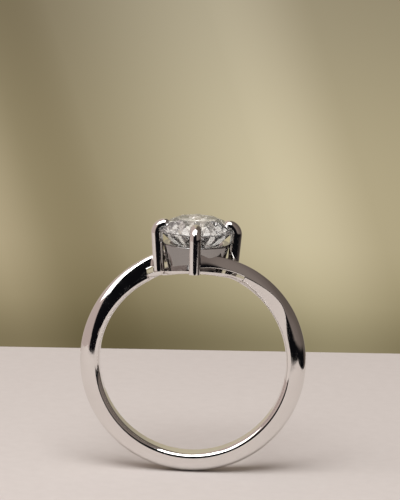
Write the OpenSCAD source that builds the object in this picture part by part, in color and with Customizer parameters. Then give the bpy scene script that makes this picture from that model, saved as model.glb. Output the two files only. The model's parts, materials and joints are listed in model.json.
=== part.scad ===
// Crossover engagement ring: a round brilliant held by four wire claws, on a shank
// whose two shoulders sweep past each other, one to the front claw and one to the back.
// The origin is the centre of the finger hole. Z goes up through the stone, Y is the
// axis of the finger hole, and the front claw stands on the -Y side.
// The ring maps onto itself when it is turned half a turn about Z.

/* [Finger hole and shank] */
// Radius of the finger hole
finger_r = 8.25; // [7.5:0.05:9.5]
// Thickness of the shank from the finger hole to its crest
shank_t = 1.75; // [1.5:0.05:2.2]
// Width of the shank along the finger
shank_w = 2.1; // [1.9:0.1:2.6]
// Radius that rounds the inner edges for comfort
comfort_r = 0.45; // [0.3:0.05:0.5]
// Angle from the top of the ring at which each shoulder is joined to the shank
joint_a = 76; // [72:1:80]

/* [Shoulders] */
// Angle from the top at which a shoulder reaches its claw
tip_a = 1; // [0.5:0.1:1.5]
// Place of the blade's front face beside the claw, ahead of the stone's centre
tip_front = 3.3; // [3.2:0.05:3.4]
// Thickness of the blade beside the claw
tip_t = 0.6; // [0.5:0.05:0.8]
// How far the leaf-shaped bevel climbs the shoulder at its widest
leaf_rise = 0.76; // [0.4:0.02:0.8]
// Angle from the top at which the leaf-shaped bevel is widest
leaf_a = 53; // [48:1:58]
// Radius of the blade's lower edge beside the claw, where the slot under it is open
blade_low_r = 8.84; // [8.8:0.01:8.9]

/* [Head] */
// Radius of the wire of a claw
claw_r = 0.51; // [0.45:0.01:0.55]
// Distance from the stone's axis to a claw's centre line, where the claw starts to bend
claw_place = 3.47; // [3.44:0.01:3.5]
// Lean of a claw away from the stone's axis
claw_lean = 4.4; // [3:0.1:5]
// Height at which a claw starts to bend over the stone
bend_z = 11.45; // [11.4:0.05:11.5]
// Radius of the bend of a claw's centre line
bend_r = 0.79; // [0.75:0.01:0.85]
// Angle through which a claw bends
bend_a = 76; // [70:1:80]
// Outer radius of the collet's rim
rim_r = 2.95; // [2.85:0.05:3]
// Height of the collet's rim
rim_z = 10.65; // [10.5:0.05:10.8]
// Outer radius of the collet at its foot
collet_foot_r = 2.45; // [2.3:0.05:2.6]
// Thickness of the collet's wall
collet_t = 0.6; // [0.5:0.05:0.65]
// Thickness of the rail under the stone
rail_t = 0.26; // [0.24:0.01:0.3]
// Thickness of the rail where it meets a shoulder
rail_end_t = 0.6; // [0.5:0.05:0.7]
// Radius of the rail's round plate
plate_r = 3.2; // [3:0.05:3.3]
// Radius of the hole under the stone
azure_r = 1.5; // [1.2:0.1:1.7]
// How far the underside of the head stands clear of the finger
relief = 0.17; // [0.16:0.01:0.3]

/* [Stone] */
// Diameter of the stone
stone_d = 6.6; // [6.5:0.05:6.6]
// Height of the stone's table
table_z = 12.84; // [12.8:0.01:12.9]
// Width of the table as a share of the stone's diameter
table_share = 0.57; // [0.54:0.01:0.6]
// Slope of the crown's main facets
crown_a = 34.5; // [33:0.5:35]
// Slope of the pavilion's main facets
pavilion_a = 40.8; // [40.6:0.1:41]
// Thickness of the girdle where the main facets meet it
girdle_t = 0.17; // [0.1:0.01:0.2]
// Length of the star facets as a share of the crown
star_share = 0.5; // [0.45:0.01:0.55]
// Length of the lower halves as a share of the pavilion
lower_share = 0.77; // [0.75:0.01:0.8]

/* [Hidden] */
$fn = 96;

// Larger than any piece, for cuts that go right through
through = 40;

crest_r = finger_r + shank_t;
half_w = shank_w / 2;
// The sections dip a little into the finger hole, over a little less than the width of
// its wall, and the finger hole is then cut true
dip = 0.04;
dip_r = finger_r - dip;
dip_inset = 0.1;
wall_half = half_w - comfort_r - dip_inset;

// Steps of a shoulder's sweep along its joined and its free part, of a quarter of its
// section and of its shelf
joined_steps = 16;
free_steps = 12;
// Angle by which the free blade starts clear of the rail's end
free_gap_a = 0.3;
quarter_steps = 6;
shelf_steps = 3;
// Flat land between the bevel and the face that is domed above it
edge_flat = 0.04;
// Round on the free blade's lower corners, and the power that squares its lower edge
blade_round = 0.12;
blade_power = 0.4;

// Both faces of a shoulder leave the faces of the shank gently and turn in sharply beside
// the claw. Each movement goes by a power of the share of the way that is done, and the
// gentle one makes this share of it.
face_start_power = 2;
face_gentle = 0.55;
rear_start_power = 1.2;
rear_gentle = 0.72;
sharp_power = 8;
// Place of the crest as a share of the width from the front face, at the shank and at
// the claw
crest_share = 0.5;
tip_crest_share = 0.3;
// Share of the way at which the section starts to take the shape it has at the claw, and
// the share over which it does
tip_from = 0.55;
tip_over = 0.4;
// How many times as fast as the sweep the front and the rear face leave the round section
slant_pace = 4;
rear_pace = 2;
// Powers of the superellipses of a section: a round one at the shank, a slanted front
// face, and a rear face that is squarer along the sweep and squarest at the claw
round_power = 2;
slant_power = 1.3;
rear_power = 2.6;
tip_power = 6.6;

// The head's underside is an arc of a smaller circle than the finger hole. It meets
// the finger hole at rail_end_a from the top, where the rail ends, and clears it in between.
rail_end_a = 28.6;
rail_end_z = finger_r * cos(rail_end_a);
under_z = finger_r + relief;
under_axis_z = (pow(under_z, 2) - pow(finger_r, 2)) / (2 * (under_z - rail_end_z));
under_r = under_z - under_axis_z;
// The rail's top is a flatter arc, so that the rail thickens towards the shoulders
rail_top_z = under_z + rail_t;
rail_end_r = finger_r + rail_end_t;
rail_axis_z = (pow(rail_top_z, 2) - pow(rail_end_r, 2))
    / (2 * (rail_top_z - rail_end_r * cos(rail_end_a)));
rail_top_r = rail_top_z - rail_axis_z;

// Reach of the rail's arms towards the front and the back where they meet a shoulder,
// and the place on the plate's edge where the front of an arm starts
arm_front = 1.3;
arm_back = 1;
arm_root_x = plate_r / 2;
arm_root_y = sqrt(pow(plate_r, 2) - pow(arm_root_x, 2));
arm_x = crest_r / 2;

// Heights and radii of the stone
stone_r = stone_d / 2;
table_r = stone_r * table_share;
girdle_top = table_z - (stone_r - table_r) * tan(crown_a);
girdle_low = girdle_top - girdle_t;
// The main facets cut this far into the girdle
girdle_touch = 0.01;
// The main facets lie every 45 degrees, and the other facets between them
half_step = 22.5;
quarter_step = 11.25;
table_edge = table_r * cos(half_step);
star_r = table_edge + star_share * (stone_r - table_edge);
star_z = girdle_top + (stone_r - star_r * cos(half_step)) * tan(crown_a);
star_a = atan((table_z - star_z) / (star_r - table_edge));
chord_r = stone_r * cos(quarter_step);
upper_a = atan((star_z - girdle_top) / (chord_r - star_r * cos(quarter_step)));
lower_r = stone_r * (1 - lower_share);
lower_z = girdle_low - (stone_r - lower_r * cos(half_step)) * tan(pavilion_a);
lower_a = atan((girdle_low - lower_z) / (chord_r - lower_r * cos(quarter_step)));

white_gold = [0.80, 0.79, 0.78];
diamond = [0.93, 0.94, 0.93];

// Smooth step from 0 to 1
function ease(t) = let (c = min(max(t, 0), 1)) c * c * (3 - 2 * c);

// Quarter of a superellipse, from the point a on to the point b, both as
// [radius, width]. It leaves a along the radius, and n = 2 makes an ellipse.
function quarter(a, b, n) = [for (i = [0 : quarter_steps - 1])
    let (t = 90 * i / quarter_steps)
    [a[0] + (b[0] - a[0]) * pow(sin(t), 2 / n),
     b[1] + (a[1] - b[1]) * pow(cos(t), 2 / n)]];

// How far a shoulder has swept towards its claw: 0 at the shank and 1 at the claw
function swept(a) = (joint_a - a) / (joint_a - tip_a);
function sweep_share(u, start_power, gentle) =
    gentle * pow(u, start_power) + (1 - gentle) * pow(u, sharp_power);
// Places of a shoulder's front and rear face
function face_y(a) = -half_w
    - (tip_front - half_w) * sweep_share(swept(a), face_start_power, face_gentle);
function rear_y(a) = half_w
    - (half_w + tip_front - tip_t) * sweep_share(swept(a), rear_start_power, rear_gentle);

// Radius at which the inner bevel meets the front face
leaf_start = joint_a - 1;
leaf_fade = 25;
leaf_left = 0.5;
function leaf_r(a) = finger_r + comfort_r + leaf_rise * (a > leaf_a
    ? ease((leaf_start - a) / (leaf_start - leaf_a))
    : 1 - (1 - leaf_left) * ease((leaf_a - a) / leaf_fade));
// Radius of the shelf left behind the blade, which carries on into the rail
shelf_drop = 0.12;
shelf_pace = 1.6;
function shelf_r(a) = finger_r + comfort_r - shelf_drop * ease(shelf_pace * swept(a));

// Lower edge of the free blade: it carries on the line of the leaf's upper edge
function blade_low(a) = blade_low_r
    + (leaf_r(rail_end_a) - blade_low_r) * (a - tip_a) / (rail_end_a - tip_a);

// Lower edge of the section before the slot opens: the front bevel, the wall of the
// finger hole, the rear comfort edge and the shelf behind the blade
function joined_edge(a, flatness) = concat(
    quarter([leaf_r(a), face_y(a)], [dip_r, -wall_half], flatness),
    [[dip_r, -wall_half], [dip_r, 0]],
    [for (i = [0 : quarter_steps])
        let (t = 90 * i / quarter_steps)
        [dip_r + (shelf_r(a) - dip_r) * (1 - cos(t)),
         wall_half + (half_w - wall_half) * sin(t)]],
    [for (i = [1 : shelf_steps])
        [shelf_r(a) + edge_flat * i / shelf_steps,
         half_w + (rear_y(a) - half_w) * i / shelf_steps]]
);
// Lower edge of the section of the free blade, with a small round at each corner. It has
// as many points as the other lower edge.
lower_count = 2 * quarter_steps + 3 + shelf_steps;
function free_edge(a) = let (
    low = blade_low(a),
    middle = (face_y(a) + rear_y(a)) / 2,
    half = (rear_y(a) - face_y(a)) / 2
) [for (i = [0 : lower_count - 1])
    let (t = 180 * i / (lower_count - 1))
    [low + blade_round * (1 - pow(sin(t), blade_power)),
     middle - half * sign(cos(t)) * pow(abs(cos(t)), blade_power)]];

// Section of the shank or a shoulder at the angle a from the top, as [radius, y]
function section(a) = let (
    u = swept(a),
    front = face_y(a),
    rear = rear_y(a),
    free = a < rail_end_a,
    front_low = free ? blade_low(a) + blade_round : leaf_r(a),
    rear_low = free ? blade_low(a) + blade_round : shelf_r(a),
    tip_share = ease((u - tip_from) / tip_over),
    crest = front + (rear - front) * (crest_share + (tip_crest_share - crest_share) * tip_share),
    slant = round_power + (slant_power - round_power) * ease(slant_pace * u),
    square = round_power + (rear_power - round_power) * ease(rear_pace * u)
        + (tip_power - rear_power) * tip_share
) concat(
    free ? free_edge(a) : joined_edge(a, slant),
    // the rear face and the crest
    [for (i = [1 : quarter_steps])
        let (t = 90 * i / quarter_steps)
        [rear_low + edge_flat + (crest_r - rear_low - edge_flat) * pow(sin(t), 2 / square),
         crest + (rear - crest) * pow(cos(t), 2 / square)]],
    // the front face
    [for (i = [1 : quarter_steps])
        let (t = 90 - 90 * i / quarter_steps)
        [front_low + edge_flat + (crest_r - front_low - edge_flat) * pow(sin(t), 2 / slant),
         crest + (front - crest) * pow(cos(t), 2 / slant)]]
);

// Keeps what is below a facet's plane on the crown: the plane passes through the
// radius r and height z in the direction az, and falls outwards
module crown_facet(az, slope, r, z) {
    rotate([0, 0, az]) translate([r, 0, z]) rotate([0, slope, 0])
        translate([-through / 2, -through / 2, -through]) cube(through);
}

// Keeps what is above a facet's plane on the pavilion
module pavilion_facet(az, slope, r, z) {
    rotate([0, 0, az]) translate([r, 0, z]) rotate([0, -slope, 0])
        translate([-through / 2, -through / 2, 0]) cube(through);
}

module centre_stone() color(diamond) intersection() {
    translate([0, 0, table_z - stone_d]) cylinder(r = stone_r, h = stone_d);
    intersection_for (az = [0 : 45 : 315]) {
        crown_facet(az, crown_a, stone_r, girdle_top - girdle_touch);
        crown_facet(az + half_step, star_a, table_edge, table_z);
        crown_facet(az + quarter_step, upper_a, chord_r, girdle_top);
        crown_facet(az - quarter_step, upper_a, chord_r, girdle_top);
        pavilion_facet(az, pavilion_a, stone_r, girdle_low + girdle_touch);
        pavilion_facet(az + quarter_step, lower_a, chord_r, girdle_low);
        pavilion_facet(az - quarter_step, lower_a, chord_r, girdle_low);
    }
}

// A cylinder along the finger hole's axis, around the axis at [x, z]
module along_finger(r, x = 0, z = 0) {
    translate([x, 0, z]) rotate([90, 0, 0]) cylinder(r = r, h = through, center = true);
}

// Where a claw's leg ends and its bend starts, standing in the direction az
module at_bend(az) {
    rotate([0, 0, az]) translate([claw_place - bend_r, 0, bend_z]) rotate([90, 0, 0])
        children();
}

// The straight leg of a claw
module claw_leg(az) {
    at_bend(az) rotate([0, 0, -claw_lean]) translate([bend_r, 0, 0]) rotate([90, 0, 0])
        cylinder(r = claw_r, h = bend_z);
}

// One claw's wire: its leg, its bend over the stone and its round end
module claw_wire(az) {
    claw_leg(az);
    at_bend(az) rotate([0, 0, -claw_lean]) rotate_extrude(angle = bend_a + claw_lean)
        translate([bend_r, 0]) circle(r = claw_r);
    at_bend(az) rotate([0, 0, bend_a]) translate([bend_r, 0, 0]) intersection() {
        sphere(r = claw_r);
        translate([-claw_r, 0, -claw_r]) cube(2 * claw_r);
    }
}

// A claw: its foot is trimmed flush with the head's underside, and the stone's
// girdle is let into its seat
module claw(az) {
    difference() {
        claw_wire(az);
        along_finger(under_r, z = under_axis_z);
        centre_stone();
    }
}

module right_claw() color(white_gold) claw(0);
module back_claw() color(white_gold) claw(90);
module left_claw() color(white_gold) claw(180);
module front_claw() color(white_gold) claw(270);

module all_claw_legs() {
    for (az = [0 : 90 : 270]) claw_leg(az);
}

// Hollow tapered cup between the claws, standing on the rail. It is turned as a longer
// cone, whose lower end the rail's curve cuts off.
collet_low_z = rim_z - 2 * (rim_z - under_z);
collet_low_r = rim_r - 2 * (rim_r - collet_foot_r);
module collet() color(white_gold) difference() {
    translate([0, 0, collet_low_z])
        cylinder(r1 = collet_low_r, r2 = rim_r, h = rim_z - collet_low_z);
    translate([0, 0, collet_low_z])
        cylinder(r1 = collet_low_r - collet_t, r2 = rim_r - collet_t, h = rim_z - collet_low_z);
    along_finger(rail_top_r, z = rail_axis_z);
    all_claw_legs();
}

// The rail: a round plate under the collet with an arm to each side, bent to the
// finger hole's curve, with a hole under the stone and a notch for each claw's foot
module base_rail() color(white_gold) difference() {
    along_finger(rail_top_r, z = rail_axis_z);
    along_finger(under_r, z = under_axis_z);
    translate([0, 0, -through]) cylinder(r = azure_r, h = 2 * through);
    rail_surround();
    all_claw_legs();
}

// The arms run out to a radial face at each shoulder
module rail_outline() {
    circle(r = plate_r);
    for (turn = [0, 180]) rotate([0, 0, turn])
        polygon([[0, 0], [arm_root_x, -arm_root_y], [arm_x, -arm_front], [arm_x, arm_back],
            [0, arm_back]]);
}

// Everything outside the rail's outline, beyond its radial ends and below its axis
module rail_surround() {
    translate([0, 0, -through / 2]) linear_extrude(through) difference() {
        square(through, center = true);
        rail_outline();
    }
    rotate([90, 0, 0]) linear_extrude(through, center = true) difference() {
        square(through, center = true);
        polygon([[0, 0], crest_r * [tan(rail_end_a), 1], crest_r * [-tan(rail_end_a), 1]]);
    }
}

// Angles at which a shoulder's section is drawn, from the shank to the claw
joined_end_a = rail_end_a + free_gap_a;
station_angles = concat(
    [for (i = [0 : joined_steps]) joint_a - (joint_a - joined_end_a) * i / joined_steps],
    [for (i = [0 : free_steps]) rail_end_a - 0.01 - (rail_end_a - tip_a) * i / free_steps]
);

// One shoulder, as a sweep of its section from the shank to the claw
module shoulder_sweep() {
    rings = [for (a = station_angles)
        [for (p = section(a)) [p[0] * sin(a), p[1], p[0] * cos(a)]]];
    n = len(rings[0]);
    last = len(rings) - 1;
    polyhedron(
        points = [for (ring = rings) each ring],
        faces = concat(
            [[for (j = [0 : n - 1]) j]],
            [for (i = [0 : last - 1], j = [0 : n - 1])
                [i * n + j, (i + 1) * n + j, (i + 1) * n + (j + 1) % n, i * n + (j + 1) % n]],
            [[for (j = [n - 1 : -1 : 0]) last * n + j]]
        ),
        convexity = 4
    );
}

// A shoulder: its wall is true to the finger hole, and its tip is fitted to the claw
module shoulder() {
    difference() {
        shoulder_sweep();
        along_finger(finger_r);
        claw_leg(270);
    }
}

module front_shoulder() color(white_gold) shoulder();
module back_shoulder() color(white_gold) rotate([0, 0, 180]) shoulder();

// The shank is a true ring of one section, open at the top between the shoulders
module shank() color(white_gold) difference() {
    rotate([-90, 0, 0]) rotate([0, 0, joint_a - 90])
        rotate_extrude(angle = 360 - 2 * joint_a) polygon(section(joint_a));
    along_finger(finger_r);
}

shank();
front_shoulder();
back_shoulder();
base_rail();
collet();
front_claw();
right_claw();
back_claw();
left_claw();
centre_stone();
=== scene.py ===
# %% [markdown]
# # A crossover engagement ring
# The ring is white gold with one round brilliant. Its shank is a plain polished hoop.
# Near the top each shoulder twists out of the hoop into a thin blade. The right blade
# sweeps to the front claw and the left blade to the back claw, so the ring looks the
# same after half a turn. The construction model already holds every piece at its real
# size. Here each metal piece is drawn again as one smooth skin, because a mirror
# polish shows every flat that a coarser mesh has.

# %% Open the frame and read its driving sizes
import json
import math
import bmesh
import bpy
import numpy as np
from mathutils import Matrix, Vector


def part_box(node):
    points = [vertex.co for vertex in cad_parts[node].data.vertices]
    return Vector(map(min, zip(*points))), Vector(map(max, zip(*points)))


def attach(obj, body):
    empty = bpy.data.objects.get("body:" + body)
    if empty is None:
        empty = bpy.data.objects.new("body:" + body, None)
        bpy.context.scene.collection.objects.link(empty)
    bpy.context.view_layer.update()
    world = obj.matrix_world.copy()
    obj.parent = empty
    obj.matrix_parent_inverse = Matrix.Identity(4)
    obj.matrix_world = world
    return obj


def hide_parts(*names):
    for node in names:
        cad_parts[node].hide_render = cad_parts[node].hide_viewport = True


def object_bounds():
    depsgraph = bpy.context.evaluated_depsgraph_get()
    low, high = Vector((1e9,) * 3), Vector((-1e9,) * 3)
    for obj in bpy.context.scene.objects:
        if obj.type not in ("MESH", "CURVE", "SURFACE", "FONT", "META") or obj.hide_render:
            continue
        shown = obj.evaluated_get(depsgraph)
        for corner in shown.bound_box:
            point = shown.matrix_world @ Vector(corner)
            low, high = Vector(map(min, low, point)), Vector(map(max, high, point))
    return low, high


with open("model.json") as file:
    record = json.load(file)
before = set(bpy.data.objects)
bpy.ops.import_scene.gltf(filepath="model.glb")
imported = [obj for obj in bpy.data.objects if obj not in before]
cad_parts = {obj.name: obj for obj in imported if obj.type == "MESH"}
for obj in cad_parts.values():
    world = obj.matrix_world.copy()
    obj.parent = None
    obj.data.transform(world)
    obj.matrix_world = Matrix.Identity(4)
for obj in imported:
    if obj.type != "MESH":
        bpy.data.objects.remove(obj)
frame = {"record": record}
cad_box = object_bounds()
MM = 0.001

shank_low, shank_high = (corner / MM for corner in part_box("shank"))
collet_low, collet_high = (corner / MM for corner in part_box("collet"))
stone_low, stone_high = (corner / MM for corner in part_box("centre_stone"))
finger_r = frame["record"]["mounts"][0]["dims"]["r_mm"]
crest_r = -shank_low.z
half_w = shank_high.y
stone_r = stone_high.x
table_z = stone_high.z
rim_r = collet_high.x
rim_z = collet_high.z
print(f"finger hole {2 * finger_r:.1f} mm, stone {2 * stone_r:.1f} mm across")

# %% [markdown]
# ## One way to draw every metal piece
# A ring maker draws bar and wire through a shaped plate and then bends it. The same
# idea works here: a loop of points is one section of the bar, and it is extruded from
# station to station. Each new loop is then put on its own station. A number kept on
# every point says which place of the section it holds, and extruding copies it.

# %% Draw a skin through a row of sections
def close_ends(bm):
    bmesh.ops.holes_fill(bm, edges=[e for e in bm.edges if e.is_boundary], sides=0)


def through_sections(sections, ends="closed"):
    """A bmesh through the sections, each a list of points in millimetres. The ends
    are closed with a face, or joined to each other."""
    bm = bmesh.new()
    bmesh.ops.create_circle(bm, segments=len(sections[0]), radius=1)
    place = bm.verts.layers.int.new("place")
    for number, vert in enumerate(bm.verts):
        vert[place] = number
        vert.co = Vector(sections[0][number]) * MM
    first = loop = bm.edges[:]
    for section in sections[1:]:
        grown = bmesh.ops.extrude_edge_only(bm, edges=loop)["geom"]
        fresh = {item for item in grown if isinstance(item, bmesh.types.BMVert)}
        for vert in fresh:
            vert.co = Vector(section[vert[place]]) * MM
        loop = [
            item for item in grown
            if isinstance(item, bmesh.types.BMEdge) and set(item.verts) <= fresh
        ]
    if ends == "joined":
        bmesh.ops.bridge_loops(bm, edges=first + loop)
    else:
        close_ends(bm)
    return bm


# %% [markdown]
# ## From a bmesh to a piece of the ring
# Every skin is finished in the same way. Points that fell together are merged first,
# and only then are the normals turned outwards, because they follow the joined faces.
# Smooth shading gives the polish, and the edges that a maker keeps crisp stay sharp.

# %% Turn a finished bmesh into a piece
def place_in_scene(name, data):
    made = bpy.data.objects.new(name, data)
    bpy.context.scene.collection.objects.link(made)
    return made


def make_piece(bm, name, part, sharp=40):
    """A piece that stands for a part of the ring. Edges that turn by more than the
    angle sharp, in degrees, stay crisp."""
    bmesh.ops.remove_doubles(bm, verts=bm.verts, dist=1e-8)
    bmesh.ops.recalc_face_normals(bm, faces=bm.faces)
    mesh = bpy.data.meshes.new(name)
    bm.to_mesh(mesh)
    bm.free()
    piece = place_in_scene(name, mesh)
    mesh.shade_smooth()
    mesh.set_sharp_from_angle(angle=math.radians(sharp))
    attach(piece, "root")
    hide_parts(part)
    print(f"{name}: {len(mesh.polygons)} faces")
    return piece


# %% [markdown]
# ## The curves of a section
# The hoop's section is a D: flat on the finger, with comfort-rounded edges, and domed
# outside. Quarters of superellipses draw all of it and of the shoulders: with a power
# of 2 they are round, with a lower one they are cut off like a bevel, and with a
# higher one they are square. One formula can so turn a dome into a blade.

# %% Ease a value from 0 to 1
def ease(t):
    t = min(max(t, 0.0), 1.0)
    return t * t * (3 - 2 * t)


# %% Draw one quarter of a superellipse
def fine_quarter(start, end, power):
    """Many points from start on to end, as radii and places along the finger. The
    curve leaves start along the radius and reaches end along the finger."""
    turn = np.linspace(0, math.pi / 2, 400)
    reach = (np.cos(turn) ** power + np.sin(turn) ** power) ** (-1 / power)
    radius = start[0] + (end[0] - start[0]) * reach * np.sin(turn)
    along = end[1] + (start[1] - end[1]) * reach * np.cos(turn)
    return radius, along


def share_out(radius, along, count):
    """Fewer points of a curve. Half are shared out by length and half by bend, so
    that the tight ends stay smooth. The last point is left to the next curve."""
    heading = np.unwrap(np.arctan2(np.diff(radius), np.diff(along)))
    length = np.hypot(np.diff(radius), np.diff(along))
    bend = np.abs(np.gradient(heading)) + 1e-6
    steps = length / length.sum() + bend / bend.sum()
    walked = np.concatenate([[0], np.cumsum(steps)])
    wanted = np.linspace(0, walked[-1], count + 1)[:-1]
    return list(zip(np.interp(wanted, walked, radius), np.interp(wanted, walked, along)))


def quarter(start, end, power, count):
    return share_out(*fine_quarter(start, end, power), count)


def straight(start, end, count):
    return [
        (start[0] + (end[0] - start[0]) * i / count, start[1] + (end[1] - start[1]) * i / count)
        for i in range(count)
    ]


# %% [markdown]
# ## The sweep of a shoulder
# Along a shoulder the front of the section moves forward and its rear follows faster,
# so the bar thins into a blade. A maker gets there by forging and filing bit by bit.
# Here every measure of the section is a smooth function of its angle in degrees from
# the top of the ring, and every radius is measured from the middle of the finger hole.

# %% Sweep the front and the rear of the section
joint_angle = 76.0
tip_angle = 1.0
tip_front = 3.3
tip_thick = 0.6
sharp_power = 8


def swept(angle):
    """How far the sweep has come: 0 at the shank and 1 at the claw."""
    return max((joint_angle - angle) / (joint_angle - tip_angle), 0.0)


def sweep_share(u, start_power, gentle):
    """The share of the way across: a gentle part, and a sharp one near the claw."""
    return gentle * u ** start_power + (1 - gentle) * u ** sharp_power


def front_y(angle):
    return -half_w - (tip_front - half_w) * sweep_share(swept(angle), 2, 0.55)


def rear_y(angle):
    return half_w - (half_w + tip_front - tip_thick) * sweep_share(swept(angle), 1.2, 0.72)


print(f"blade {rear_y(tip_angle) - front_y(tip_angle):.1f} mm thick at the claw")

# %% Open and close the leaf-shaped bevel on the inside of the twist
comfort_r = 0.45
wall_half = half_w - comfort_r
leaf_rise = 0.76
leaf_start = joint_angle - 1
leaf_angle = 53.0
leaf_fade = 25
leaf_left = 0.5


def leaf_radius(angle):
    """Radius at which the bevel meets the front face."""
    if angle > leaf_angle:
        share = ease((leaf_start - angle) / (leaf_start - leaf_angle))
    else:
        share = 1 - leaf_left * ease((leaf_angle - angle) / leaf_fade)
    return finger_r + comfort_r + leaf_rise * share


print(f"the bevel opens {leaf_radius(leaf_angle) - leaf_radius(joint_angle):.2f} mm")

# %% Place the shelf behind the blade and the blade's lower edge
shelf_drop = 0.12
shelf_pace = 1.6
rail_end_angle = 28.6
blade_low_r = 8.84


def shelf_radius(angle):
    return finger_r + comfort_r - shelf_drop * ease(shelf_pace * swept(angle))


def blade_low(angle):
    """Radius of the lower edge where the blade is free of the rail."""
    way = (angle - tip_angle) / (rail_end_angle - tip_angle)
    return blade_low_r + (leaf_radius(rail_end_angle) - blade_low_r) * way


print(f"the blade is free from {rail_end_angle} degrees on")

# %% [markdown]
# ## The loop of a section
# A section is one closed loop: its underside, then its rear face and its front face,
# which meet at the crest. Where the blade is free, the underside is only the blade's
# lower edge. Where it is joined, it is the bevel, the wall of the finger hole, the
# rear comfort edge and the shelf. Both undersides have the same number of points, so
# that one skin can run on from one to the other.

# %% Draw the rear and the front face
land = 0.04
blade_round = 0.12
tip_from = 0.55
tip_over = 0.4
crest_share = 0.5
tip_crest_shift = 0.2
round_power = 2
front_slant = 0.7
front_pace = 4
rear_square = 0.6
rear_pace = 2
tip_square = 4


def faces(angle):
    """The rear and the front face up to the crest, each as radii and places. On the
    free blade they are cut off where its rounded lower corners begin."""
    front, rear, u = front_y(angle), rear_y(angle), swept(angle)
    tip_share = ease((u - tip_from) / tip_over)
    crest = (crest_r, front + (rear - front) * (crest_share - tip_crest_shift * tip_share))
    rear_power = round_power + rear_square * ease(rear_pace * u) + tip_square * tip_share
    front_power = round_power - front_slant * ease(front_pace * u)
    free = angle < rail_end_angle
    front_low = blade_low(angle) if free else leaf_radius(angle)
    drawn = []
    for low, side, power in (
        (shelf_radius(angle), rear, rear_power), (front_low, front, front_power),
    ):
        radius, along = fine_quarter((low + land, side), crest, power)
        kept = radius >= (blade_low(angle) + blade_round if free else 0)
        drawn.append((radius[kept], along[kept]))
    return drawn


# %% Draw the underside where the shoulder is joined to the rail
bevel_points, wall_points, comfort_points, shelf_points = 24, 10, 16, 8
bevel_slant = 0.5


def joined_underside(angle):
    shelf = shelf_radius(angle)
    power = round_power - bevel_slant * ease(front_pace * swept(angle))
    front_edge, rear_edge = (finger_r, -wall_half), (finger_r, wall_half)
    under = quarter((leaf_radius(angle), front_y(angle)), front_edge, power, bevel_points)
    under += straight(front_edge, rear_edge, wall_points)
    under += quarter((shelf, half_w), rear_edge, round_power, comfort_points)[::-1]
    return under + straight((shelf, half_w), (shelf + land, rear_y(angle)), shelf_points)


print(len(joined_underside(joint_angle)), "points in the joined underside")

# %% Draw the underside of the free blade
corner_points = 14
edge_points = len(joined_underside(joint_angle)) - 2 * corner_points


def free_underside(angle):
    """The lower edge of the blade, with a small round at each corner."""
    low = blade_low(angle)
    (rear_r, rear_at), (front_r, front_at) = faces(angle)
    front, rear = front_at[0], rear_at[0]
    front_corner, rear_corner = (low, front + blade_round), (low, rear - blade_round)
    under = quarter((front_r[0], front), front_corner, round_power, corner_points)
    under += straight(front_corner, rear_corner, edge_points)
    return under + quarter((rear_r[0], rear), rear_corner, round_power, corner_points)[::-1]


print(len(free_underside(tip_angle)), "points in the free underside")

# %% Close the section at any angle from the top
face_points = 32


def section(angle):
    """The whole section, as points in millimetres in the ring's own frame."""
    rear_face, front_face = faces(angle)
    loop = free_underside(angle) if angle < rail_end_angle else joined_underside(angle)
    loop += share_out(*rear_face, face_points) + share_out(*front_face, face_points)[::-1]
    a = math.radians(angle)
    return [(r * math.sin(a), y, r * math.cos(a)) for r, y in loop]


print(len(section(joint_angle)), "points in a section")

# %% [markdown]
# ## Shank
# On the bench this is a length of D-section bar, bent round a mandrel. It has one
# section all the way, so the section is spun about the axis of the finger.

# %% Spin the shank
def shank():
    bm = bmesh.new()
    loop = [bm.verts.new(Vector(p) * MM) for p in section(joint_angle)]
    edges = [bm.edges.new((loop[i - 1], loop[i])) for i in range(len(loop))]
    bmesh.ops.spin(
        bm, geom=loop + edges, cent=(0, 0, 0), axis=(0, 1, 0),
        angle=math.radians(360 - 2 * joint_angle), steps=200,
    )
    close_ends(bm)
    return make_piece(bm, "polished_shank", "shank")


shank_piece = shank()

# %% [markdown]
# ## Shoulders
# A shoulder is forged and filed from the same bar. Where it leaves the rail, the blade
# above the open slot is free, and the section changes from the whole bar to the blade.
# The second shoulder is the first one turned half a turn about the stone's axis.

# %% Choose the stations along a shoulder
arm_angle = rail_end_angle + 0.3
free_start = rail_end_angle - 0.01
joined_steps = 150
free_steps = 90
stations = [
    joint_angle - (joint_angle - arm_angle) * i / joined_steps for i in range(joined_steps + 1)
]
stations += [
    free_start - (rail_end_angle - tip_angle) * i / free_steps for i in range(free_steps + 1)
]
print(len(stations), "stations along a shoulder")


# %% Sweep both shoulders
def turned(bm, angle):
    """Turns a bmesh about the stone's axis, by an angle in radians."""
    bmesh.ops.rotate(
        bm, verts=bm.verts, cent=(0, 0, 0), matrix=Matrix.Rotation(angle, 3, "Z")
    )
    return bm


def shoulder(name, part, turn):
    bm = turned(through_sections([section(angle) for angle in stations]), turn)
    return make_piece(bm, name, part)


front_shoulder = shoulder("front_blade", "front_shoulder", 0)
back_shoulder = shoulder("back_blade", "back_shoulder", math.pi)

# %% [markdown]
# ## Rail under the head
# The rail is a thin plate with an arm to each side. It is bent to the finger and
# pierced under the stone so that light and water get through. A washer has the same
# topology: rings of points run round the stone's axis, and each point is set at the
# height that the bent plate has there.

# %% Find the arcs of the rail's underside and top
relief = 0.17
rail_t = 0.26
rail_end_t = 0.6


def arc_through(top, end):
    """Height of the centre and radius of an arc about the finger's direction, with
    its top at top and passing the radius end where the rail ends."""
    centre = (top ** 2 - end ** 2) / (2 * (top - end * math.cos(math.radians(rail_end_angle))))
    return centre, top - centre


def height(arc, x):
    return arc[0] + math.sqrt(arc[1] ** 2 - x ** 2)


under_arc = arc_through(finger_r + relief, finger_r)
top_arc = arc_through(finger_r + relief + rail_t, finger_r + rail_end_t)
print(f"the underside is bent to {under_arc[1]:.2f} mm and the top to {top_arc[1]:.2f} mm")

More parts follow.
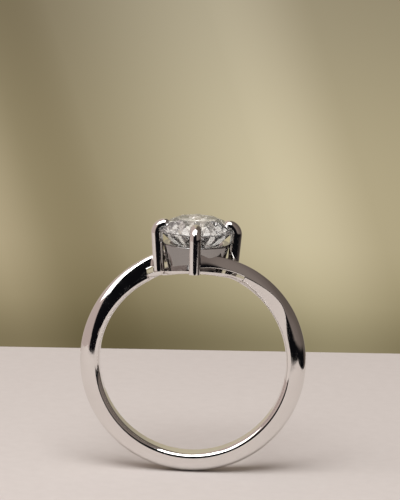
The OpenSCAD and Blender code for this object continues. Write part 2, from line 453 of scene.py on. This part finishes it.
# %% Outline the rail from above
plate_r = 3.2
rim_bevel = 0.14
arm_slope = 0.17
arm_rear = 0.95
outline_steps = 60


def rail_outline(end, front, rear, disc):
    """The rail's right half from above, as (angles, reaches) round the stone's axis:
    a curve from the plate to the front of the arm, the arm's end and its rear."""
    root_x = disc / 2
    root_y = math.sqrt(disc ** 2 - root_x ** 2)
    curve = (root_y - front - arm_slope * (end - root_x)) / (end - root_x) ** 2
    x = np.linspace(root_x, end, outline_steps)
    y = -(front + arm_slope * (end - x) + curve * (end - x) ** 2)
    rear_x = np.linspace(end, math.sqrt(disc ** 2 - rear ** 2), outline_steps)
    x = np.concatenate([x, np.full(outline_steps, end), rear_x])
    y = np.concatenate([
        y, np.linspace(-front, rear, outline_steps), np.full(outline_steps, rear)
    ])
    return np.arctan2(y, x), np.hypot(x, y)


def rail_reaches(turns, end, front, rear, disc):
    """How far the rail reaches from the stone's axis at each turn. The left half is
    the right one after half a turn."""
    angles, reaches = rail_outline(end, front, rear, disc)
    folded = [(t + math.pi / 2) % math.pi - math.pi / 2 for t in turns]
    return [
        max(disc, float(np.interp(t, angles, reaches))) if angles[0] < t < angles[-1] else disc
        for t in folded
    ]


# %% Draw the rail
azure_r = 1.5
crisp = 0.01


def between(inner, outer, share):
    return [a + (b - a) * share for a, b in zip(inner, outer)]


def rail():
    turns = [2 * math.pi * i / 480 for i in range(480)]
    end_sin = math.sin(math.radians(arm_angle))
    bevel = joined_underside(arm_angle)[:bevel_points]
    radii, places = [r for r, y in bevel][::-1], [-y for r, y in bevel][::-1]
    arm_top = float(np.interp(finger_r + rail_end_t, radii, places))
    hole = [azure_r] * len(turns)
    low = rail_reaches(turns, finger_r * end_sin, wall_half, wall_half, plate_r - rim_bevel)
    top = rail_reaches(turns, (finger_r + rail_end_t) * end_sin, arm_top, arm_rear, plate_r)

    def out(rise):
        """How far out the side is at a rise, as a share: the bevel of the shoulder."""
        place = np.interp(finger_r + rail_end_t * rise, radii, places)
        return float(place - wall_half) / (arm_top - wall_half)

    def ring(reaches, arc_share):
        points = []
        for t, reach in zip(turns, reaches):
            x, y = reach * math.cos(t), reach * math.sin(t)
            z = height(under_arc, x) * (1 - arc_share) + height(top_arc, x) * arc_share
            points.append((x, y, z))
        return points

    shares = [i / 10 for i in range(11)]
    rings = [ring(between(hole, low, s), 0.0) for s in shares]
    rings += [ring(between(low, top, out(s)), crisp + (1 - 2 * crisp) * s) for s in shares]
    rings += [ring(between(top, hole, s), 1.0) for s in shares]
    bm = through_sections(rings, ends="joined")
    return make_piece(bm, "azured_rail", "base_rail", sharp=30)


rail_piece = rail()

# %% [markdown]
# ## Collet
# The collet is a short tapered cup, turned or rolled from sheet, that braces the claws
# below the stone. Its foot is filed to sit on the bent rail. Its wall is drawn as one
# ring section that goes round the stone's axis.

# %% Outline the collet's wall
foot_r = 2.45
collet_wall = 0.6
rim_round = 0.12
tall = rim_z - finger_r - relief
flare = (rim_r - foot_r) / tall
wall_steps = 24
round_steps = 8


def wall_outline():
    """Points up the outside, over the rounded rim and down the inside. Each is an
    inset from the outside and a rise, 0 at the foot and 1 at the rim."""
    straight_share = 1 - rim_round / tall
    outline = [(0, i / wall_steps * straight_share) for i in range(wall_steps + 1)]
    for i in range(1, round_steps + 1):
        a = math.pi / 2 * i / round_steps
        outline.append((rim_round * (1 - math.cos(a)), 1 - rim_round / tall * (1 - math.sin(a))))
    for i in range(round_steps + 1):
        a = math.pi / 2 * i / round_steps
        outline.append((
            collet_wall - rim_round * (1 - math.sin(a)),
            1 - rim_round / tall * (1 - math.cos(a)),
        ))
    return outline + [
        (collet_wall, (wall_steps - i) / wall_steps * straight_share)
        for i in range(1, wall_steps + 1)
    ]


print(f"collet {tall:.2f} mm tall, {len(wall_outline())} points round its wall")


# %% Draw the collet
def wall_point(t, inset, rise):
    """A point of the wall at the turn t about the stone's axis."""
    foot_z = height(top_arc, (foot_r - inset) * math.cos(t))
    z = foot_z + (rim_z - foot_z) * rise
    reach = rim_r - inset - flare * (rim_z - z)
    return (reach * math.cos(t), reach * math.sin(t), z)


def collet():
    turns = [2 * math.pi * i / 240 for i in range(240)]
    rings = [[wall_point(t, inset, rise) for t in turns] for inset, rise in wall_outline()]
    bm = through_sections(rings, ends="joined")
    return make_piece(bm, "collet_cup", "collet")


collet_piece = collet()

# %% [markdown]
# ## Stone
# A round brilliant has a table, eight main facets on each side, eight stars and the
# halves that fill the girdle. A cutter grinds one plane after another, and bisecting
# a disc with the same planes gives the same stone, facet by facet.

# %% Work out the slopes of the facets
table_share = 0.57
crown_slope = 34.5
pavilion_slope = 40.8
girdle_t = 0.17
girdle_touch = 0.01
star_share = 0.5
lower_share = 0.77
main_step = 45
half_step = main_step / 2
half_facet = main_step / 4


def tan(angle):
    return math.tan(math.radians(angle))


def cos(angle):
    return math.cos(math.radians(angle))


table_r = stone_r * table_share
girdle_top = table_z - (stone_r - table_r) * tan(crown_slope)
girdle_low = girdle_top - girdle_t
table_edge = table_r * cos(half_step)
star_r = table_edge + star_share * (stone_r - table_edge)
star_z = girdle_top + (stone_r - star_r * cos(half_step)) * tan(crown_slope)
chord_r = stone_r * cos(half_facet)
lower_r = stone_r * (1 - lower_share)
lower_z = girdle_low - (stone_r - lower_r * cos(half_step)) * tan(pavilion_slope)


def slope_of(rise, run):
    return math.degrees(math.atan(rise / run))


star_slope = slope_of(table_z - star_z, star_r - table_edge)
upper_slope = slope_of(star_z - girdle_top, chord_r - star_r * cos(half_facet))
lower_slope = slope_of(girdle_low - lower_z, chord_r - lower_r * cos(half_facet))
print(f"stars {star_slope:.1f}, upper halves {upper_slope:.1f}, lower {lower_slope:.1f} degrees")


# %% Grind the brilliant
def grind(bm, azimuth, slope, reach, level):
    """Cuts one facet. A positive slope falls outwards, as on the crown."""
    a, s = math.radians(azimuth), math.radians(slope)
    outward = Vector((math.cos(a), math.sin(a), 0))
    lean = 1 if slope > 0 else -1
    normal = outward * math.sin(abs(s)) + Vector((0, 0, lean * math.cos(s)))
    bmesh.ops.bisect_plane(
        bm, geom=bm.verts[:] + bm.edges[:] + bm.faces[:], dist=1e-9,
        plane_co=(outward * reach + Vector((0, 0, level))) * MM, plane_no=normal,
        clear_outer=True,
    )
    close_ends(bm)


def brilliant():
    bm = bmesh.new()
    depth = 2 * stone_r
    bmesh.ops.create_cone(
        bm, cap_ends=True, segments=192, radius1=stone_r * MM, radius2=stone_r * MM,
        depth=depth * MM, matrix=Matrix.Translation((0, 0, (table_z - depth / 2) * MM)),
    )
    for azimuth in range(0, 360, main_step):
        grind(bm, azimuth, crown_slope, stone_r, girdle_top - girdle_touch)
        grind(bm, azimuth + half_step, star_slope, table_edge, table_z)
        grind(bm, azimuth, -pavilion_slope, stone_r, girdle_low + girdle_touch)
        for side in (-half_facet, half_facet):
            grind(bm, azimuth + side, upper_slope, chord_r, girdle_top)
            grind(bm, azimuth + side, -lower_slope, chord_r, girdle_low)
    return make_piece(bm, "round_brilliant", "centre_stone", sharp=3)


stone_piece = brilliant()

# %% [markdown]
# ## Claws
# Each claw is round wire. It leans out a little, bends in over the stone and ends in a
# filed round tip. The foot is filed flush with the underside of the rail. The setter
# cuts a seat for the girdle, which is the stone's own shape taken out of the wire.

# %% Bend the wire of one claw
claw_r = 0.51
claw_place = 3.47
claw_lean = 4.4
bend_z = 11.45
bend_r = 0.79
bend_angle = 76.0
leg = 4.4
leg_steps, bend_steps, tip_steps = 40, 48, 16
tip_end = 88


def wire_ring(centre, tilt, radius, ahead=0.0):
    """A ring square to the wire, which points tilt degrees inwards from upright."""
    s, c = math.sin(math.radians(tilt)), math.cos(math.radians(tilt))
    points = []
    for i in range(64):
        t = 2 * math.pi * i / 64
        out, across = radius * math.cos(t), radius * math.sin(t)
        points.append((centre[0] + out * c - ahead * s, across, centre[1] + out * s + ahead * c))
    return points


def on_bend(angle):
    a = math.radians(angle)
    return (claw_place - bend_r + bend_r * math.cos(a), bend_z + bend_r * math.sin(a))


def claw_rings():
    """Rings along the leg, the bend and the round tip, from the foot on."""
    start = on_bend(-claw_lean)
    lean = math.radians(claw_lean)
    rings = []
    for i in range(leg_steps):
        down = leg * (1 - i / leg_steps)
        centre = (start[0] - down * math.sin(lean), start[1] - down * math.cos(lean))
        rings.append(wire_ring(centre, -claw_lean, claw_r))
    for i in range(bend_steps + 1):
        angle = -claw_lean + (bend_angle + claw_lean) * i / bend_steps
        rings.append(wire_ring(on_bend(angle), angle, claw_r))
    for i in range(1, tip_steps + 1):
        a = math.radians(tip_end * i / tip_steps)
        centre = on_bend(bend_angle)
        rings.append(wire_ring(centre, bend_angle, claw_r * math.cos(a), claw_r * math.sin(a)))
    return rings


print(len(claw_rings()), "rings along a claw")


# %% Cut the seat of the stone
def cut_seat(piece):
    """Takes the stone's shape out of a claw. The cut leaves a few slivers where it
    only just touches an edge, and these are dissolved."""
    cut = piece.modifiers.new("seat", "BOOLEAN")
    cut.object = stone_piece
    cut.solver = "EXACT"
    view = piece.evaluated_get(bpy.context.evaluated_depsgraph_get())
    seated = bpy.data.meshes.new_from_object(view)
    piece.modifiers.clear()
    bm = bmesh.new()
    bm.from_mesh(seated)
    bmesh.ops.dissolve_degenerate(bm, edges=bm.edges, dist=0.0005 * MM)
    bmesh.ops.triangulate(bm, faces=[f for f in bm.faces if len(f.verts) > 4])
    bmesh.ops.recalc_face_normals(bm, faces=bm.faces)
    bm.to_mesh(seated)
    bm.free()
    piece.data = seated
    seated.set_sharp_from_angle(angle=math.radians(40))
    print(f"{piece.name} after its seat is cut: {len(seated.polygons)} faces")


# %% Stand the four claws
def claw(name, part, azimuth):
    bm = turned(through_sections(claw_rings()), math.radians(azimuth))
    for vert in bm.verts:
        foot_z = height(under_arc, vert.co.x / MM) * MM
        vert.co.z = max(vert.co.z, foot_z)
    piece = make_piece(bm, name, part)
    cut_seat(piece)
    return piece


claws = [
    claw("front_claw_wire", "front_claw", 270),
    claw("right_claw_wire", "right_claw", 0),
    claw("back_claw_wire", "back_claw", 90),
    claw("left_claw_wire", "left_claw", 180),
]

# %% [markdown]
# ## Small helpers for materials
# A material is a tree of nodes. The helpers below add a node with its settings, feed
# a socket with a value or with another node's output, and mix two colours. Patterns
# read Object coordinates, so they stay on the metal when the ring is moved.

# %% Add nodes and feed their sockets
def node(tree, kind, **values):
    made = tree.nodes.new(kind)
    for key, value in values.items():
        if key in made.inputs:
            made.inputs[key].default_value = value
        else:
            setattr(made, key, value)
    return made


def feed(tree, value, socket):
    if isinstance(value, bpy.types.NodeSocket):
        tree.links.new(value, socket)
    else:
        socket.default_value = value


def mixed(tree, share, first, second, how="MIX"):
    """A mix of two colours. On a Mix node, sockets 6 and 7 are the two colours."""
    made = node(tree, "ShaderNodeMix", data_type="RGBA", blend_type=how)
    for value, place in ((share, 0), (first, 6), (second, 7)):
        feed(tree, value, made.inputs[place])
    return made.outputs[2]


def spread(tree, source, start, end, low=0.0, high=1.0):
    """Low up to where the source is start, high from end on, and a rise between."""
    made = node(tree, "ShaderNodeMapRange")
    made.inputs["From Min"].default_value = start
    made.inputs["From Max"].default_value = end
    made.inputs["To Min"].default_value = low
    made.inputs["To Max"].default_value = high
    tree.links.new(source, made.inputs["Value"])
    return made.outputs["Result"]


# %% Start a material and make a fine grain
def new_material(name):
    material = bpy.data.materials.new(name)
    material.use_nodes = True
    tree = material.node_tree
    return material, tree, tree.nodes["Principled BSDF"]


def noise(tree, scale, detail=3.0):
    where = node(tree, "ShaderNodeTexCoord")
    made = node(tree, "ShaderNodeTexNoise", Scale=scale, Detail=detail)
    tree.links.new(where.outputs["Object"], made.inputs["Vector"])
    return made.outputs["Fac"]


# %% [markdown]
# ## White gold
# White gold takes a mirror polish, so its look is mostly what it reflects. What the
# eye still sees is a faint haze where the polishing mop left fine lines, and a skin
# that is never quite flat. Noise at three scales drives the tone, the roughness and a
# slight bump. The outside of the collet between the claws gets a darker copy of the
# gold, which is painted shade, and a softer polish. Its inside is as bright as the rest.

# %% Mix the white gold
def polished_gold(name, smoothest, roughest, shade=1.0):
    material, tree, shader = new_material(name)
    shader.inputs["Metallic"].default_value = 1.0
    deep, bright = (0.80, 0.775, 0.755), (0.86, 0.84, 0.82)
    # a shade below 1 darkens both tones, which paints shade into the gold's colour
    tones = [(*(part * shade for part in tone), 1) for tone in (deep, bright)]
    feed(tree, mixed(tree, noise(tree, 450.0), *tones), shader.inputs["Base Color"])
    haze = spread(tree, noise(tree, 1400.0, 5.0), 0.3, 0.7, smoothest, roughest)
    feed(tree, haze, shader.inputs["Roughness"])
    bump = node(tree, "ShaderNodeBump", Strength=0.05, Distance=0.00002)
    feed(tree, noise(tree, 900.0), bump.inputs["Height"])
    feed(tree, bump.outputs["Normal"], shader.inputs["Normal"])
    return material


bright_gold = polished_gold("polished white gold", 0.03, 0.11)
# a darker copy with painted shade, for the outside of the collet
painted_shade_gold = polished_gold("white gold with painted shade", 0.08, 0.16, 0.42)


# %% Give the metal pieces their gold
def finish(piece, *materials):
    piece.data.materials.clear()
    for material in materials:
        piece.data.materials.append(material)


for piece in [shank_piece, front_shoulder, back_shoulder, rail_piece] + claws:
    finish(piece, bright_gold)
# the collet's outside faces get the copy with painted shade, and its inside faces the bright
# gold
finish(collet_piece, painted_shade_gold, bright_gold)
for face in collet_piece.data.polygons:
    inwards = face.center.x * face.normal.x + face.center.y * face.normal.y < 0
    face.material_index = 1 if inwards else 0
print("white gold on", 5 + len(claws), "pieces")

# %% [markdown]
# ## Diamond
# The stone is clear, with polished facets. A stone that is worn and handled carries a
# trace of haze, which scatters a few parts in a hundred of the light and keeps its
# shadows from going black. Only the girdle is left as it was turned, a fine frosted
# band. The band is found by its distance from the stone's axis, which no facet
# reaches, and it gets a high roughness.

# %% Mix the diamond
facet_edge = 0.006
frost_edge = 0.002
frost = 0.35


def clear_diamond():
    material, tree, shader = new_material("clear diamond")
    shader.inputs["Base Color"].default_value = (1, 1, 1, 1)
    shader.inputs["IOR"].default_value = 2.417
    shader.inputs["Transmission Weight"].default_value = 0.93
    where = node(tree, "ShaderNodeTexCoord")
    apart = node(tree, "ShaderNodeSeparateXYZ")
    feed(tree, where.outputs["Object"], apart.inputs["Vector"])
    flat = node(tree, "ShaderNodeCombineXYZ")
    for axis in "XY":
        feed(tree, apart.outputs[axis], flat.inputs[axis])
    reach = node(tree, "ShaderNodeVectorMath", operation="LENGTH")
    feed(tree, flat.outputs["Vector"], reach.inputs[0])
    band = spread(
        tree, reach.outputs["Value"], (stone_r - facet_edge) * MM, (stone_r - frost_edge) * MM,
        0.0, frost,
    )
    feed(tree, band, shader.inputs["Roughness"])
    return material


finish(stone_piece, clear_diamond())
print("diamond on", stone_piece.name)

# %% [markdown]
# ## Floor
# The ring stands on a plain pale slab. It ends a little in front of the ring, so the
# upright faces of the metal mirror the dark room past its edge, and the faces that
# look down mirror the pale slab. That contrast is what makes polished metal read.

# %% Shape the slab
slab_front, slab_back = -0.050, 0.052
slab_left, slab_right = -0.11, 0.05
slab_deep = 0.02
slab_turn = 4.5


def slab_mesh():
    low_z = cad_box[0].z
    bm = bmesh.new()
    bmesh.ops.create_cube(bm, size=1.0)
    size = (slab_right - slab_left, slab_back - slab_front, slab_deep)
    bmesh.ops.scale(bm, vec=size, verts=bm.verts)
    middle = (
        (slab_left + slab_right) / 2, (slab_front + slab_back) / 2, low_z - slab_deep / 2
    )
    bmesh.ops.translate(bm, vec=middle, verts=bm.verts)
    bmesh.ops.bevel(
        bm, geom=bm.edges[:], offset=0.003, segments=6, profile=0.5, affect="EDGES", material=-1
    )
    turned(bm, math.radians(slab_turn))
    mesh = bpy.data.meshes.new("floor")
    bm.to_mesh(mesh)
    bm.free()
    mesh.shade_smooth()
    mesh.set_sharp_from_angle(angle=math.radians(50))
    return mesh


# %% Lay the floor
def pale_slab():
    material, tree, shader = new_material("pale slab")
    tint = mixed(tree, noise(tree, 900.0), (0.565, 0.52, 0.495, 1), (0.615, 0.57, 0.545, 1))
    feed(tree, tint, shader.inputs["Base Color"])
    shader.inputs["Roughness"].default_value = 0.9
    shader.inputs["Specular IOR Level"].default_value = 0.1
    return material


floor = place_in_scene("floor", slab_mesh())
finish(floor, pale_slab())
print(f"slab {slab_right - slab_left:.3f} m wide, top at {cad_box[0].z / MM:.1f} mm")

# %% [markdown]
# ## Camera
# A long macro lens looks slightly down on the head of the ring from a quarter of a
# metre. The ring leans a touch to the right in the picture.

# %% Set the camera
def set_camera():
    elevation, azimuth, lean = (math.radians(a) for a in (10.5, 1.4, 1.7))
    distance = 0.25
    per_mm = 11.3
    long_side = 500
    back = Vector((
        math.sin(azimuth) * math.cos(elevation),
        -math.cos(azimuth) * math.cos(elevation),
        math.sin(elevation),
    ))
    level_right = Vector((0, 0, 1)).cross(back).normalized()
    level_up = back.cross(level_right)
    right = level_right * math.cos(lean) + level_up * math.sin(lean)
    up = level_up * math.cos(lean) - level_right * math.sin(lean)
    # the finger hole's centre lies this far from the middle of the picture
    aim = right * 0.00063 + up * 0.0098
    camera = place_in_scene("camera", bpy.data.cameras.new("camera"))
    turn = Matrix((right, up, back)).transposed().to_4x4()
    camera.matrix_world = Matrix.Translation(aim + back * distance) @ turn
    camera.data.sensor_width = 36.0
    camera.data.lens = per_mm * distance / MM * camera.data.sensor_width / long_side
    camera.data.clip_start = 0.01
    bpy.context.scene.camera = camera
    print(f"lens {camera.data.lens:.0f} mm")


set_camera()

# %% [markdown]
# ## Light
# Two soft boxes light the ring, one overhead and one high at the front left. They are
# hidden from the light that comes out of the stone, which would show them as hard
# white patches.

# %% Hang the soft boxes
def soft_box(name, direction, distance, size, radiance):
    light = bpy.data.lights.new(name, "AREA")
    light.shape = "RECTANGLE"
    light.size, light.size_y = size
    light.energy = radiance * math.pi * size[0] * size[1]
    lamp = place_in_scene(name, light)
    lamp.location = Vector(direction).normalized() * distance + Vector((0, 0, 0.01))
    lamp.rotation_euler = Vector(direction).to_track_quat("Z", "Y").to_euler()
    lamp.visible_transmission = False
    print(f"{name}: {light.energy:.2f} W")


soft_box("overhead box", (-0.05, -0.5, 1.0), 0.5, (0.42, 0.36), 5.0)
soft_box("window box", (-0.62, -0.50, 0.80), 0.6, (0.50, 0.30), 2.4)

# %% [markdown]
# ## Room
# Polished metal shows the room more than itself. Round the horizon the room is pale
# on the left, dark behind the camera and brown-grey on the right. It is painted on
# the world, by the direction in which a ray leaves. The camera itself sees a quiet
# olive and beige wall behind the slab, and what comes out of the stone sees a bright
# patchy room, because a cut stone gathers light from all round.

# %% Add helpers for the world
def maths(tree, operation, a, b=None):
    made = node(tree, "ShaderNodeMath", operation=operation)
    feed(tree, a, made.inputs[0])
    if b is not None:
        feed(tree, b, made.inputs[1])
    return made.outputs["Value"]


def ramp(tree, source, stops, blend="EASE"):
    """A row of colours, each a place along the source and a colour."""
    made = node(tree, "ShaderNodeValToRGB")
    made.color_ramp.interpolation = blend
    band = made.color_ramp.elements
    while len(band) < len(stops):
        band.new(0.5)
    for element, (position, colour) in zip(band, stops):
        element.position = position
        element.color = (*colour, 1)
    feed(tree, source, made.inputs["Fac"])
    return made.outputs["Color"]


# %% Paint the walls that the metal mirrors
wall = (0.54, 0.48, 0.35)
pale = (0.52, 0.42, 0.39)
dark = (0.004, 0.004, 0.005)


def mirrored_walls(tree, way):
    """The room by the angle round from the camera's side. Its dark part is a low band
    in front, with brown-grey above, below and beside it."""
    facing = maths(tree, "MULTIPLY", way["Y"], -1)
    around = maths(tree, "ARCTAN2", way["X"], facing)
    turn = maths(tree, "ADD", maths(tree, "DIVIDE", around, 2 * math.pi), 0.5)
    left = ramp(tree, turn, [(0.0, wall), (0.12, pale), (0.375, pale), (0.395, dark)])
    right = ramp(tree, turn, [
        (0.60, (0.22, 0.183, 0.163)), (0.68, (0.17, 0.138, 0.124)),
        (0.78, (0.13, 0.105, 0.09)), (0.90, (0.11, 0.09, 0.075)), (1.0, wall),
    ])
    above = maths(
        tree, "MULTIPLY", spread(tree, way["Z"], -0.08, -0.02), spread(tree, around, 0.40, 0.52)
    )
    below = maths(
        tree, "MULTIPLY", spread(tree, way["Z"], -0.25, -0.29), spread(tree, around, 1.0, 1.10)
    )
    beside = spread(tree, around, 1.83, 1.98)
    on_right = maths(tree, "MAXIMUM", maths(tree, "MAXIMUM", above, below), beside)
    return mixed(tree, on_right, left, right)


# %% Paint the wall behind the slab
view_angle = 12


def wall_behind(tree, way):
    """Soft slanting bands of light and shade, darker low down and at the top."""
    degrees = 180 / math.pi / view_angle
    across = maths(tree, "ARCTAN2", way["X"], way["Y"])
    across = maths(tree, "ADD", maths(tree, "MULTIPLY", across, degrees), 0.5)
    rise = maths(tree, "MULTIPLY", maths(tree, "ARCSINE", way["Z"]), degrees)
    rise = maths(tree, "ADD", rise, 1.4)
    slant = maths(tree, "MULTIPLY", maths(tree, "SUBTRACT", rise, 0.54), 0.35)
    bands = ramp(tree, maths(tree, "ADD", across, slant), [
        (0.05, (0.48, 0.40, 0.255)), (0.13, (0.27, 0.222, 0.122)), (0.25, (0.28, 0.228, 0.13)),
        (0.52, (0.69, 0.61, 0.41)), (0.62, (0.60, 0.52, 0.345)), (0.70, (0.44, 0.375, 0.23)),
    ], "B_SPLINE")
    shade = ramp(tree, rise, [
        (0.37, (0.40, 0.39, 0.33)), (0.44, (0.70, 0.69, 0.63)), (0.54, (1.0, 1.0, 1.0)),
        (0.74, (0.92, 0.92, 0.93)), (0.95, (0.66, 0.66, 0.70)),
    ], "B_SPLINE")
    return mixed(tree, 1.0, bands, shade, "MULTIPLY")


# %% Paint what the stone gathers
def stone_surroundings(tree, direction):
    patches = node(tree, "ShaderNodeTexNoise", Scale=6.0, Detail=2.0)
    feed(tree, direction, patches.inputs["Vector"])
    return ramp(tree, patches.outputs["Fac"], [
        (0.34, (0.55, 0.49, 0.40)), (0.41, (0.78, 0.72, 0.64)),
        (0.48, (0.92, 0.86, 0.79)), (0.55, (1.0, 0.96, 0.90)),
    ])


# %% Put the room together
def paint_room():
    world = bpy.data.worlds.new("room")
    world.use_nodes = True
    bpy.context.scene.world = world
    tree = world.node_tree
    where = node(tree, "ShaderNodeTexCoord")
    apart = node(tree, "ShaderNodeSeparateXYZ")
    feed(tree, where.outputs["Generated"], apart.inputs["Vector"])
    ray = node(tree, "ShaderNodeLightPath").outputs
    room = mixed(
        tree, ray["Is Transmission Ray"], mirrored_walls(tree, apart.outputs),
        stone_surroundings(tree, where.outputs["Generated"]),
    )
    room = mixed(tree, ray["Is Camera Ray"], room, wall_behind(tree, apart.outputs))
    feed(tree, room, tree.nodes["Background"].inputs["Color"])
    print("the room is painted with", len(tree.nodes), "nodes")


paint_room()
bpy.context.scene.view_settings.view_transform = "Standard"
